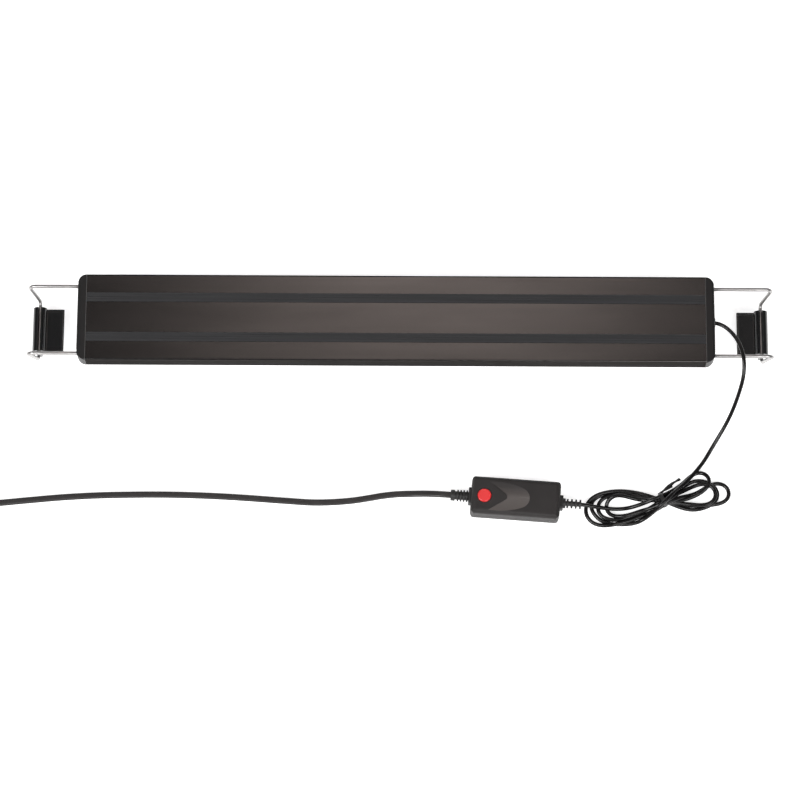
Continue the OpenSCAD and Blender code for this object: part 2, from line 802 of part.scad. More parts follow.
module mains_coil() {
    color([0.13, 0.13, 0.13]) translate(coil_pos) difference() {
        rotate_extrude() coil_section(0);
        translate([coil_in - 1, -coil_tie_w / 2 - coil_tie_play, -1])
            cube([coil_out - coil_in + 2, coil_tie_w + 2 * coil_tie_play, 1 + coil_tie_t]);
    }
}

module coil_tie() {
    color([0.1, 0.1, 0.1]) translate(coil_pos) difference() {
        translate([coil_in - coil_tie_t - coil_bow, -coil_tie_w / 2, 0])
            cube([coil_out - coil_in + 2 * coil_tie_t + coil_bow, coil_tie_w, coil_h + coil_tie_t]);
        rotate_extrude() coil_section(coil_tie_t);
    }
}

// Two-pin plug lying flat, its pins along +Y
module plug_body() {
    color([0.1, 0.1, 0.1]) translate(plug_pos) rotate([-90, 0, 0]) {
        linear_extrude(plug_grip_l) rounded(plug_grip.x, plug_grip.y, plug_grip.z);
        translate([0, 0, plug_l - plug_head_l]) linear_extrude(plug_head_l)
            rounded(plug_w, plug_t, plug_r);
    }
}

module plug_pins() {
    color([0.8, 0.8, 0.82]) translate(plug_pos) for (x = [-1, 1])
        translate([x * pin_gap / 2, plug_l, 0]) rotate([-90, 0, 0]) {
            translate([0, 0, -pin_root.x]) cylinder(h = pin_root.x + 1, r = pin_root.y);
            cylinder(h = pin_l - pin_tip.x, r = pin_r);
            translate([0, 0, pin_l - pin_tip.x])
                cylinder(h = pin_tip.x, r1 = pin_r, r2 = pin_tip.y);
        }
}

// ---- Every piece in its place ----

housing_extrusion();
end_cap(-1);  // end_cap_left
end_cap(1);  // end_cap_right
end_gasket(-1);  // end_gasket_left
end_gasket(1);  // end_gasket_right
cap_screws(-1);  // cap_screws_left
cap_screws(1);  // cap_screws_right
lens_cover();
thermal_pad();
led_board();
white_leds();
blue_leds();
led_leads();
cord_grommet();
bracket_wire(-1);  // bracket_wire_left
bracket_wire(1);  // bracket_wire_right
wire_stops(-1);  // wire_stops_left
wire_stops(1);  // wire_stops_right
tank_clip(-1);  // tank_clip_left
tank_clip(1);  // tank_clip_right
lamp_cord();
lamp_cord_tail();
lamp_cord_hank();
hank_tie();
driver_case_upper();
driver_case_lower();
driver_board();
transformer();
capacitors();
power_switch();
button_spring();
power_button();
outlet_boot();
inlet_boot();
mains_cord();
mains_coil();
coil_tie();
mains_tail();
plug_body();
plug_pins();
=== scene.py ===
"""LED aquarium light: the looks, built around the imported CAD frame. Everything is in metres."""

import json
import math

import bmesh
import bpy
import numpy as np
from mathutils import Matrix, Vector


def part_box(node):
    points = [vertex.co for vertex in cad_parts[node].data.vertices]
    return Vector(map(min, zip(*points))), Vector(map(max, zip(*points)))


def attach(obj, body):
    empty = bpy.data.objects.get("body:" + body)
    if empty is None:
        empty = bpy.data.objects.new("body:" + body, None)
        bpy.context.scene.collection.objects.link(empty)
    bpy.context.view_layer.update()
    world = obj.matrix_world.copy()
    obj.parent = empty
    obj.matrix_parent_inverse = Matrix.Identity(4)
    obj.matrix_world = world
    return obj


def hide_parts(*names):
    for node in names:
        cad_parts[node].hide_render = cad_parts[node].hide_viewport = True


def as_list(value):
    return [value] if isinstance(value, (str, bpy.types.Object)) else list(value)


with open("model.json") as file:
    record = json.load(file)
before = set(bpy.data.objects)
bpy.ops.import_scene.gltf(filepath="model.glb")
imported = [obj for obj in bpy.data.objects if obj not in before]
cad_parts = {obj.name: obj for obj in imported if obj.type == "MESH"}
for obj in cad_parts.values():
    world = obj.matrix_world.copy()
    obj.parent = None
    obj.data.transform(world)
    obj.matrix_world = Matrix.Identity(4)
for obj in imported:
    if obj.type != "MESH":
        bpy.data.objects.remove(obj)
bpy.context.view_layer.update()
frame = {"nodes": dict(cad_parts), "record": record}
nodes = frame["nodes"]
MM = 0.001

# ---- Sizes that part.scad also holds ----

LEG_Y = 27.3 * MM
LEG_Z = 45 * MM
LEG_LENGTH = 121 * MM
BAR_Y = 24 * MM
BAR_Z = 14.5 * MM
WIRE_LEAN = 6.5 * MM
WIRE_R = 1.5 * MM
BEND_R = 4.2 * MM
BODY_X = -3.5 * MM
HOUSING_L = 500 * MM
STRIP_IN = 12.3 * MM
STRIP_OUT = 19.9 * MM
REACH = {"left": 39.5 * MM, "right": 46.5 * MM}

LAMP_CORD_D = 3.2 * MM
MAINS_W = 5.2 * MM
MAINS_T = 3.2 * MM
TIE_AT = Vector((206, -135, 0)) * MM
TIE_TURN = math.radians(29)
DRIVER_AT = Vector((91, -135.5, 0)) * MM
DRIVER_TURN = math.radians(-4)
BUTTON_AT = Vector((-24.6, -0.8, 0)) * MM
SCOOP_MID = 10 * MM
SCOOP_HALF = 11.5 * MM
SCOOP_SIDE_R = 56.5 * MM
SCOOP_TIP = (27.3 * MM, 8.2 * MM)
COIL_AT = Vector((-358, -108, 0)) * MM
TIE_T = 0.9 * MM  # room for the twist tie around and on the hank's waist
CORD_STEP = 1.5 * MM  # between points worked out along a lead
HANK_START_Z = 7  # height of the hank's points before they settle, in millimetres

# The lamp's lead: out of the cap, over the bracket's wire, down to the table and up on its hank
LAMP_ROUTE = [
    (244, 0, 45), (249, 0, 45), (253, -2, 45.6), (257, -5, 46.3), (261, -9.5, 47.1),
    (264.5, -15, 47.9), (267, -21, 48.4), (268.6, -27, 48.5), (269.3, -32, 47.8),
    (269.4, -37, 46), (269.1, -42, 43.2), (268.2, -47, 39.6), (266.7, -52, 35.2),
    (264.8, -58, 29.3), (262, -65, 22.4), (258.6, -72, 15.8), (254.4, -79, 10.2),
    (249.6, -86.5, 5.8), (245, -94, 3), (240.5, -101.5, 2), (236, -107.5, 2.8),
    (232, -112.4, 4.4), (228.5, -116.4, 6.2), (225.2, -120, 7.8),
]
# The end of the same lead, off the hank and into the driver box
TAIL_ROUTE = [
    (153, -140.2, 8.5), (149.5, -139.8, 9.3), (146, -139.4, 10.3), (142.7, -139.1, 10.8),
    (139.7, -138.9, 10.8),
]
# The mains lead: out of the driver box, down to the table and along it to its coil
MAINS_ROUTE = [
    (44, -132.2, 10.8), (40, -131.9, 10.8), (35, -131.5, 10.6), (30, -131, 9.6),
    (25, -130.4, 7.8), (20, -129.8, 5.6), (15, -129.4, 3.7), (10, -129.2, 2.4),
    (5, -129.2, 1.8), (-3, -129.5, 1.6), (-14, -130.8, 1.6), (-25, -132.8, 1.6),
    (-38, -134.8, 1.6), (-52, -136, 1.6), (-68, -136.4, 1.6), (-86, -135.4, 1.6),
    (-106, -134, 1.6), (-130, -132.4, 1.6), (-156, -131.2, 1.6), (-184, -130.6, 1.6),
    (-212, -130.8, 1.6), (-240, -131.6, 1.6), (-266, -133.2, 1.6), (-292, -135.6, 1.6),
    (-316, -138, 1.6), (-336, -139.4, 1.6), (-350, -139.8, 1.6),
]
PLUG_ROUTE = [
    (-389.8, -108, 1.6), (-390, -101, 2.2), (-390, -94, 3.8), (-390, -87, 5.6),
    (-390, -80, 6.6),
]

# Passes of the hank between those two routes: the order in which they lie on each other at a
# crossing, lowest first, and their points seen from above, in millimetres. These are measured
# places, most of them printed by a helper script; no loop or rule works them out.
HANK = [
    (30, [(216.5, -128.5), (208, -138), (201.5, -143.5), (193.5, -148.5)]),
    (1, [(186, -152), (176.5, -153), (167, -152.8), (158, -150), (151.5, -142.5),
          (150.5, -135.5), (156, -130.5), (166, -128), (177, -128), (189.5, -129.5)]),
    (11, [(199, -132), (208, -135)]),
    (3, [(219.5, -137), (230.5, -137.5), (243, -137.3), (252, -136), (258, -133.5),
          (260.5, -127.5), (258, -121.5), (252, -119), (246, -120), (240.5, -123.5),
          (233.5, -128), (225.5, -131)]),
    (21, [(217.5, -134), (210, -138), (201.5, -142.5)]),
    (5, [(193, -145.5), (183, -149.5), (172, -153), (161.5, -154.5), (151.5, -152),
          (146.5, -145), (147, -137), (153, -131), (163.5, -127.5), (175, -126.5),
          (189.5, -128.5)]),
    (12, [(198.5, -131.5), (208, -134.5)]),
    (6, [(216.5, -138), (227, -141), (238, -140.5), (247, -136.5), (251.5, -130), (249, -123),
          (242, -118.5), (233.5, -117), (224.5, -122)]),
    (22, [(217.5, -127.5), (209, -133.5), (200, -139.5)]),
    (7, [(190.5, -143.5), (181, -147), (172, -149.8), (165, -149.3), (158.3, -146.5),
          (155.5, -139.8), (158.3, -133.1), (165, -130.3), (178, -129.5), (189, -131.5)]),
    (13, [(198.5, -134), (208, -136.5)]),
    (8, [(217.5, -136.5), (228.5, -137), (240.5, -138.3), (246.9, -135.7), (249.5, -129.3),
          (246.9, -122.9), (240.5, -120.3), (233, -121.8), (224.5, -126.5)]),
    (23, [(217, -131), (209, -137), (200.5, -141)]),
    (9, [(189, -143.5), (179.5, -147), (170.5, -147.5), (164.5, -145), (162, -139),
          (164.5, -133), (170.5, -130.5), (183, -133), (192, -134.5)]),
    (14, [(201, -135.5), (208.5, -136.5)]),
    (10, [(217.5, -135.5), (227, -133), (235, -129.5), (242, -124.5), (244.8, -118.5),
          (242.4, -112.6), (236.5, -110.2), (230, -113), (225.5, -118)]),
    (24, [(218, -124.5), (210, -130.5), (201.5, -134.5)]),
    (29, [(192, -137.5), (181, -140), (169.5, -141), (159, -140.5)]),
]

# ---- Camera ----

CAMERA_DISTANCE = 2.667
CAMERA_ELEVATION = math.radians(75)
CAMERA_ROLL = math.radians(0.27)
CAMERA_TARGET = Vector((0, -0.052, 0))


def make_camera():
    data = bpy.data.cameras.new("camera")
    data.sensor_width = 36
    data.lens = 151
    data.clip_end = 30
    camera = bpy.data.objects.new("camera", data)
    bpy.context.scene.collection.objects.link(camera)
    back = Vector((0, -math.cos(CAMERA_ELEVATION), math.sin(CAMERA_ELEVATION)))
    place = Matrix.Translation(CAMERA_TARGET + back * CAMERA_DISTANCE)
    tilt = Matrix.Rotation(math.pi / 2 - CAMERA_ELEVATION, 4, "X")
    camera.matrix_world = place @ tilt @ Matrix.Rotation(CAMERA_ROLL, 4, "Z")
    bpy.context.scene.camera = camera


# ---- Curves and sweeps ----


def in_metres(points):
    return np.array(points, float) * MM


def smooth_line(points, step):
    """Points about step apart on a centripetal spline through the given points."""
    p = np.asarray(points, float)
    p = np.vstack([2 * p[0] - p[1], p, 2 * p[-1] - p[-2]])
    gaps = np.sqrt(np.linalg.norm(np.diff(p, axis=0), axis=1))
    t = np.concatenate([[0], np.cumsum(gaps)])
    out = []
    for i in range(1, len(p) - 2):
        n = max(2, math.ceil(np.linalg.norm(p[i + 1] - p[i]) / step))
        for u in np.linspace(t[i], t[i + 1], n, endpoint=False):
            a1 = blend_at(p[i - 1], p[i], t[i - 1], t[i], u)
            a2 = blend_at(p[i], p[i + 1], t[i], t[i + 1], u)
            a3 = blend_at(p[i + 1], p[i + 2], t[i + 1], t[i + 2], u)
            b1 = blend_at(a1, a2, t[i - 1], t[i + 1], u)
            b2 = blend_at(a2, a3, t[i], t[i + 2], u)
            out.append(blend_at(b1, b2, t[i], t[i + 1], u))
    out.append(p[-2])
    return np.array(out)


def blend_at(a, b, ta, tb, u):
    return a + (b - a) * (u - ta) / (tb - ta)


def even(line, step):
    """The same line with its points the same distance apart."""
    along = np.concatenate([[0], np.cumsum(np.linalg.norm(np.diff(line, axis=0), axis=1))])
    at = np.linspace(0, along[-1], max(2, round(along[-1] / step) + 1))
    return np.stack([np.interp(at, along, line[:, k]) for k in range(3)], axis=1)


def length_of(line):
    return float(np.linalg.norm(np.diff(line, axis=0), axis=1).sum())


def frames_along(line, up):
    """Direction, side and top of a line at each of its points, turning as little as possible."""
    d = np.gradient(line, axis=0)
    d /= np.linalg.norm(d, axis=1)[:, None]
    side = np.cross(up, d[0])
    sides = []
    for k in d:
        side = side - k * side.dot(k)
        side /= np.linalg.norm(side)
        sides.append(side)
    sides = np.array(sides)
    return d, sides, np.cross(d, sides)


def flat_frames(line, up=(0, 0, 1)):
    """The same with the top kept nearest to one direction, as a flat lead lies."""
    d = np.gradient(line, axis=0)
    d /= np.linalg.norm(d, axis=1)[:, None]
    sides = np.cross(up, d)
    sides /= np.linalg.norm(sides, axis=1)[:, None]
    return d, sides, np.cross(d, sides)


def new_object(name, verts, faces, smooth=True):
    mesh = bpy.data.meshes.new(name)
    mesh.from_pydata([tuple(v) for v in verts], [], faces)
    mesh.validate()
    if smooth:
        mesh.shade_smooth()
    obj = bpy.data.objects.new(name, mesh)
    bpy.context.scene.collection.objects.link(obj)
    return obj


def sweep(name, line, section, frames=None):
    """Tube whose section, a list of (side, top) offsets, follows a line."""
    d, side, top = frames if frames is not None else frames_along(line, (0, 0, 1))
    n, m = len(line), len(section)
    verts = []
    for i in range(n):
        verts += [line[i] + side[i] * a + top[i] * b for a, b in section]
    faces = [
        (i * m + j, i * m + (j + 1) % m, (i + 1) * m + (j + 1) % m, (i + 1) * m + j)
        for i in range(n - 1)
        for j in range(m)
    ]
    faces.append(tuple(range(m - 1, -1, -1)))
    faces.append(tuple(range((n - 1) * m, n * m)))
    return new_object(name, verts, faces)


def circle_section(r, sides=16):
    turn = np.linspace(0, 2 * math.pi, sides, endpoint=False)
    return [(r * math.cos(a), r * math.sin(a)) for a in turn]


def twin_section(w, t, sides=28):
    """Section of a flat two-core lead: two round cores side by side with a shallow groove."""
    out = []
    r = t / 2
    for a in np.linspace(0, 2 * math.pi, sides, endpoint=False):
        x = (w / 2 - r) * math.tanh(4 * math.cos(a)) + r * math.cos(a)
        waist = 1 - 0.13 * math.exp(-((x / (0.16 * w)) ** 2))
        out.append((x, r * math.sin(a) * waist))
    return out


# ---- The lamp's lead and its hank ----


def order_along(along, points):
    """Which pass of the hank each place along the lead belongs to, as its order there."""
    first = len(LAMP_ROUTE)
    ends = []
    for _, part in HANK:
        first += len(part)
        ends.append(length_of(smooth_line(points[:first], CORD_STEP)))
    orders = np.array([order for order, _ in HANK] + [HANK[-1][0]])
    return orders[np.searchsorted(ends, along)]


def settled(line, order, held, d):
    """Heights of a lead as it comes to lie: it rests on the strands under it and sags between."""
    rounds, sag = 420, 0.05 * MM
    waist_r, neighbours = 9 * MM, 8
    at_tie = np.linalg.norm(line[:, :2] - np.array(TIE_AT)[:2], axis=1) < waist_r
    bed = np.where(at_tie, d / 2 + TIE_T, d / 2)
    apart = np.linalg.norm(line[:, None, :2] - line[None, :, :2], axis=2)
    place = np.arange(len(line))
    under = (order[:, None] > order[None, :]) & (apart < d)
    under &= np.abs(place[:, None] - place[None, :]) > neighbours
    lift = np.where(under, np.sqrt(np.maximum(d * d - apart**2, 0)), -1)
    lift[(order == HANK[0][0]) & at_tie] += TIE_T
    z = line[:, 2].copy()
    for _ in range(rounds):
        z[~held] -= sag
        for _ in range(2):
            z[1:-1] = np.where(held[1:-1], z[1:-1], (z[:-2] + 2 * z[1:-1] + z[2:]) / 4)
        for _ in range(2):
            press = np.maximum(z[None, :] + lift - z[:, None], 0)
            push = (press.max(axis=1) - press.max(axis=0)) / 2
            z = np.where(held, z, np.maximum(z + push, bed))
    return z


def lamp_cord_line():
    """The lead's line, and the order of its passes along it."""
    flat_passes, height_passes = 14, 16
    held_end = 14 * MM
    start, end = list(LAMP_ROUTE), list(TAIL_ROUTE)
    middle = [(x, y, HANK_START_Z) for _, part in HANK for x, y in part]
    points = in_metres(start + middle + end)
    line = even(smooth_line(points, CORD_STEP), CORD_STEP)
    along = np.arange(len(line)) * length_of(line) / (len(line) - 1)
    order = order_along(along, points)
    in_start = along < length_of(smooth_line(points[: len(start) - 2], CORD_STEP))
    held = in_start | (along > along[-1] - held_end)
    for _ in range(flat_passes):
        line[1:-1, :2] = (line[:-2, :2] + 2 * line[1:-1, :2] + line[2:, :2]) / 4
    line[:, 2] = settled(line, order, held, LAMP_CORD_D)
    for _ in range(height_passes):
        line[1:-1, 2] = (line[:-2, 2] + 2 * line[1:-1, 2] + line[2:, 2]) / 4
    return line, order


def make_lamp_cord(lamp_line):
    cord = sweep("lamp_lead", lamp_line, circle_section(LAMP_CORD_D / 2))
    paint(cord, MATERIALS["lamp_cord"])
    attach(cord, "root")
    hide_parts("lamp_cord", "lamp_cord_hank", "lamp_cord_tail")
    return cord


def declare_lamp_cord(lamp_line):
    tuple(in_metres(LAMP_ROUTE[1]))
    [tuple(q) for q in lamp_line]


# ---- The mains lead and its coil ----


def eased(t, start):
    """From 0 to 1, smoothly, over the half turn that begins at start."""
    u = np.clip((t - start) / 0.5, 0, 1)
    return u * u * (3 - 2 * u)


def coil_line():
    """Turns of the mains lead: in along the lower layer, out again along the upper one."""
    outer, inner = 31.6 * MM, 26.2 * MM
    turns, points_per_turn = 4.25, 40
    layer = MAINS_T * 1.03
    t = np.linspace(0, turns, int(turns * points_per_turn) + 1)
    r = outer - (outer - inner) * (eased(t, 0.75) - eased(t, 2.75))
    z = MAINS_T / 2 + layer * (eased(t, 1.75) - 0.5 * eased(t, 4))
    a = -math.pi / 2 - 2 * math.pi * t
    return np.stack([COIL_AT.x + r * np.cos(a), COIL_AT.y + r * np.sin(a), z], axis=1)


def mains_cord_line():
    coil = coil_line()
    away = in_metres(PLUG_ROUTE)[2:]
    points = np.vstack([in_metres(MAINS_ROUTE)[:-1], coil, away])
    return even(smooth_line(points, CORD_STEP), 1.6 * MM)


def make_mains_cord():
    line = mains_cord_line()
    cord = sweep("mains_lead", line, twin_section(MAINS_W, MAINS_T), flat_frames(line))
    paint(cord, MATERIALS["mains_cord"])
    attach(cord, "root")
    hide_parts("mains_cord", "mains_coil", "mains_tail")
    return cord, line


def declare_mains_cord(cord, line, pieces):
    tuple(in_metres(MAINS_ROUTE[1]))
    [tuple(q) for q in line]
    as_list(pieces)


# ---- Materials ----

MATERIALS = {}


class Nodes:
    """A material's node tree with short calls to add nodes and links."""

    def __init__(self, name, color, rough, metallic=0.0, **sockets):
        self.material = bpy.data.materials.new(name)
        self.material.use_nodes = True
        self.tree = self.material.node_tree
        self.shader = self.tree.nodes["Principled BSDF"]
        self.shader.inputs["Base Color"].default_value = (*color, 1)
        self.shader.inputs["Roughness"].default_value = rough
        self.shader.inputs["Metallic"].default_value = metallic
        for socket, value in sockets.items():
            self.shader.inputs[socket.replace("_", " ")].default_value = value
        self.bumps = None

    def add(self, kind, **settings):
        node = self.tree.nodes.new(kind)
        for key, value in settings.items():
            setattr(node, key, value)
        return node

    def link(self, a, b):
        self.tree.links.new(a, b)

    def place(self, scale=(1, 1, 1)):
        """Position on the piece, in metres, stretched by scale."""
        where = self.add("ShaderNodeTexCoord")
        mapping = self.add("ShaderNodeMapping")
        mapping.inputs["Scale"].default_value = scale
        self.link(where.outputs["Object"], mapping.inputs["Vector"])
        return mapping.outputs["Vector"]

    def noise(self, scale, detail=3.0, stretch=(1, 1, 1), rough=0.5):
        noise = self.add("ShaderNodeTexNoise")
        noise.inputs["Scale"].default_value = scale
        noise.inputs["Detail"].default_value = detail
        noise.inputs["Roughness"].default_value = rough
        self.link(self.place(stretch), noise.inputs["Vector"])
        return noise.outputs["Fac"]

    def spread(self, value, low, high):
        """The value from 0 to 1 spread from low to high."""
        spread = self.add("ShaderNodeMapRange")
        spread.inputs["To Min"].default_value = low
        spread.inputs["To Max"].default_value = high
        self.link(value, spread.inputs["Value"])
        return spread.outputs["Result"]

    def tint(self, value, dark, light, edges=(0.3, 0.7)):
        """Base colour from dark to light."""
        ramp = self.add("ShaderNodeValToRGB")
        ramp.color_ramp.elements[0].position = edges[0]
        ramp.color_ramp.elements[0].color = (*dark, 1)
        ramp.color_ramp.elements[1].position = edges[1]
        ramp.color_ramp.elements[1].color = (*light, 1)
        self.link(value, ramp.inputs["Fac"])
        self.link(ramp.outputs["Color"], self.shader.inputs["Base Color"])
        return ramp.color_ramp

    def rough(self, value, low, high):
        self.link(self.spread(value, low, high), self.shader.inputs["Roughness"])

    def bump(self, value, strength, distance):
        bump = self.add("ShaderNodeBump")
        bump.inputs["Strength"].default_value = strength
        bump.inputs["Distance"].default_value = distance
        self.link(value, bump.inputs["Height"])
        if self.bumps is not None:
            self.link(self.bumps, bump.inputs["Normal"])
        self.bumps = bump.outputs["Normal"]
        self.link(self.bumps, self.shader.inputs["Normal"])


def shades(color, share):
    """A darker and a lighter shade of a colour."""
    dark = tuple(c * (1 - share) for c in color)
    return dark, tuple(min(1, c * (1 + share)) for c in color)


def plastic(name, color, rough, grain=2500, grain_depth=0.02, wear=0.12, **sockets):
    """Moulded plastic: fine grain, slightly uneven gloss and colour."""
    m = Nodes(name, color, rough, **sockets)
    cloud = m.noise(60, 4)
    m.tint(cloud, *shades(color, wear))
    m.rough(m.noise(180, 3), rough * 0.88, rough * 1.12)
    m.bump(m.noise(grain, 2), 0.35, grain_depth * MM)
    return m.material


def anodised():
    """Black anodised aluminium with the faint lines that the die leaves along the profile."""
    color = (0.05, 0.0475, 0.0465)
    m = Nodes("anodised_black", color, 0.25, metallic=1.0)
    m.shader.inputs["Specular Tint"].default_value = (0.36, 0.36, 0.36, 1)
    m.tint(m.noise(9, 3, (1, 6, 6)), *shades(color, 0.1))
    lines = m.noise(60, 4, (0.05, 40, 40), 0.6)
    m.rough(lines, 0.2, 0.26)
    m.bump(lines, 0.12, 0.03 * MM)
    m.bump(m.noise(3000, 2), 0.25, 0.008 * MM)
    return m.material


def anodised_strip():
    """The ribbed strips, blasted matt before they were anodised."""
    color = (0.034, 0.034, 0.0355)
    m = Nodes("anodised_strip", color, 0.75, metallic=0.0, Specular_IOR_Level=0.25)
    m.tint(m.noise(40, 3, (0.3, 8, 8)), *shades(color, 0.12))
    m.bump(m.noise(2200, 3), 0.4, 0.02 * MM)
    return m.material


def steel(name, color, rough, streak=400):
    """Drawn or turned bare metal with fine marks, about streak of them to a metre."""
    m = Nodes(name, color, rough, metallic=1.0)
    marks = m.noise(streak, 4, rough=0.6)
    m.tint(marks, *shades(color, 0.06))
    m.rough(marks, rough * 0.75, rough * 1.4)
    m.bump(marks, 0.04, 0.01 * MM)
    return m.material


def pvc(name, color, rough, **sockets):
    """Skin of a lead: satin, with faint marks from drawing and handling."""
    m = Nodes(name, color, rough, **sockets)
    m.tint(m.noise(140, 4), *shades(color, 0.2))
    m.rough(m.noise(500, 3), rough * 0.85, rough * 1.2)
    m.bump(m.noise(900, 3), 0.2, 0.03 * MM)
    return m.material


def scoop_plastic():
    """Matt texture of the thumb scoop, with painted light and shade across it: dark under the far
    edge, palest across the middle and a little darker again towards the near edge.
    """
    m = Nodes("driver_scoop", (0.07, 0.06, 0.056), 0.6, Specular_IOR_Level=0.35)
    across = Vector((-math.sin(DRIVER_TURN), math.cos(DRIVER_TURN), 0))
    middle = across.dot(DRIVER_AT + Matrix.Rotation(DRIVER_TURN, 3, "Z") @ BUTTON_AT)
    side = m.add("ShaderNodeVectorMath", operation="DOT_PRODUCT")
    m.link(m.place(), side.inputs[0])
    side.inputs[1].default_value = across
    place = m.add("ShaderNodeMapRange")
    place.inputs["From Min"].default_value = middle - SCOOP_HALF
    place.inputs["From Max"].default_value = middle + SCOOP_HALF
    m.link(side.outputs["Value"], place.inputs["Value"])
    # painted shade and light across the scoop, from the near edge (0) to the far edge (1): the far
    # wall's shade painted dark, the floor's light painted pale
    ramp = m.tint(place.outputs["Result"], (0.082, 0.071, 0.066), (0.024, 0.021, 0.0205), (0, 1))
    for position, color in ((0.5, (0.1, 0.088, 0.083)), (0.68, (0.062, 0.053, 0.05)),
                            (0.86, (0.03, 0.026, 0.025))):
        ramp.elements.new(position).color = (*color, 1)
    m.rough(m.noise(180, 3), 0.54, 0.66)
    m.bump(m.noise(3200, 2), 0.35, 0.06 * MM)
    return m.material


def lens_acrylic():
    m = Nodes("lens_acrylic", (0.93, 0.96, 0.97), 0.12, IOR=1.49, Transmission_Weight=0.85)
    m.rough(m.noise(300, 3), 0.08, 0.2)
    m.bump(m.noise(700, 2), 0.1, 0.01 * MM)
    return m.material


def silicone():
    color = (0.065, 0.062, 0.06)
    m = Nodes("gasket_silicone", color, 0.5, Subsurface_Weight=0.1)
    m.tint(m.noise(300, 3), *shades(color, 0.1))
    m.bump(m.noise(1500, 2), 0.2, 0.01 * MM)
    return m.material


def led_board():
    """White solder mask with a faint glass weave and copper showing through as soft steps."""
    color = (0.8, 0.8, 0.78)
    m = Nodes("led_board_white", color, 0.35, Coat_Weight=0.2)
    m.tint(m.noise(90, 2), *shades(color, 0.04))
    m.bump(m.noise(1200, 2), 0.2, 0.01 * MM)
    return m.material


def phosphor(name, color, rough):
    """Gel over the diodes of an LED package."""
    m = Nodes(name, color, rough, Coat_Weight=0.6, Subsurface_Weight=0.1)
    m.tint(m.noise(700, 3), *shades(color, 0.1))
    m.rough(m.noise(900, 2), rough * 0.8, rough * 1.2)
    return m.material


def make_materials():
    looks = MATERIALS
    looks["anodised"] = anodised()
    looks["strip"] = anodised_strip()
    looks["cap"] = plastic("cap_plastic", (0.0085, 0.008, 0.0082), 0.45, 2200, 0.03,
                       Specular_IOR_Level=0.35)
    looks["clip"] = plastic("clip_plastic", (0.0045, 0.0046, 0.0048), 0.14, 900, 0.004,
                        Coat_Weight=0.4)
    looks["driver"] = plastic("driver_plastic", (0.024, 0.0215, 0.021), 0.56, 2600, 0.05,
                          Specular_IOR_Level=0.3)
    looks["scoop"] = scoop_plastic()
    looks["button"] = plastic("button_red", (0.72, 0.028, 0.03), 0.3, 1500, 0.008, 0.05,
                          Coat_Weight=0.3)
    looks["rubber"] = plastic("black_rubber", (0.014, 0.0135, 0.0135), 0.5, 1800, 0.03)
    looks["tie"] = plastic("tie_plastic", (0.011, 0.011, 0.011), 0.35, 1200, 0.02)
    looks["stop"] = plastic("stop_plastic", (0.05, 0.05, 0.05), 0.45)
    looks["plug"] = plastic("plug_plastic", (0.016, 0.016, 0.016), 0.34, 2400, 0.03)
    looks["lamp_cord"] = pvc("lamp_cord_pvc", (0.006, 0.0055, 0.0055), 0.22, Specular_IOR_Level=0.3)
    looks["mains_cord"] = pvc("mains_cord_pvc", (0.02, 0.018, 0.0178), 0.4, Coat_Weight=0.05)
    looks["wire"] = steel("stainless_wire", (0.46, 0.45, 0.445), 0.33, 25)
    looks["screw"] = steel("screw_steel", (0.56, 0.56, 0.58), 0.28)
    looks["spring"] = steel("spring_steel", (0.6, 0.6, 0.62), 0.25)
    looks["pins"] = steel("pin_metal", (0.74, 0.72, 0.66), 0.18)
    looks["lens"] = lens_acrylic()
    looks["gasket"] = silicone()
    looks["board"] = led_board()
    looks["led_white"] = phosphor("led_white", (0.9, 0.68, 0.12), 0.3)
    looks["led_blue"] = phosphor("led_blue", (0.75, 0.82, 0.9), 0.2)
    looks["led_body"] = plastic("led_package", (0.82, 0.82, 0.8), 0.35, 1500, 0.004, 0.03)
    looks["pad"] = plastic("thermal_pad", (0.4, 0.46, 0.54), 0.7)
    looks["lead"] = plastic("lead_wire", (0.5, 0.03, 0.03), 0.4)
    looks["pcb"] = plastic("pcb_green", (0.02, 0.16, 0.06), 0.35)
    looks["transformer"] = plastic("transformer_tape", (0.72, 0.5, 0.05), 0.4)
    looks["capacitor"] = plastic("capacitor_sleeve", (0.02, 0.035, 0.16), 0.25)
    looks["switch"] = plastic("switch_plastic", (0.06, 0.06, 0.065), 0.4)


def paint(obj, material):
    obj.data.materials.clear()
    obj.data.materials.append(material)


# ---- Pieces made from the CAD nodes ----


def body_of_node(name):
    for body, members in frame["record"]["behaviour"]["bodies"].items():
        if name in members:
            return body
    return "root"


def softened(node, material, width, segments=3, angle=30):
    """The CAD node's own shape with its edges rounded as moulding or sawing leaves them."""
    mesh = nodes[node].data.copy()
    bm = bmesh.new()
    bm.from_mesh(mesh)
    bmesh.ops.remove_doubles(bm, verts=bm.verts, dist=0.002 * MM)
    bmesh.ops.dissolve_limit(
        bm, angle_limit=math.radians(0.4), verts=bm.verts, edges=bm.edges
    )
    bm.to_mesh(mesh)
    bm.free()
    obj = bpy.data.objects.new(node + "_piece", mesh)
    bpy.context.scene.collection.objects.link(obj)
    bevel = obj.modifiers.new("edges", "BEVEL")
    bevel.width = width
    bevel.segments = segments
    bevel.limit_method = "ANGLE"
    bevel.angle_limit = math.radians(angle)
    bevel.miter_outer = "MITER_ARC"
    flat = obj.modifiers.new("flat_faces", "WEIGHTED_NORMAL")
    flat.keep_sharp = True
    flat.weight = 100
    mesh.shade_smooth()
    mesh.set_sharp_from_angle(angle=math.radians(50))
    paint(obj, material)
    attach(obj, body_of_node(node))
    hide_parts(node)
    return obj


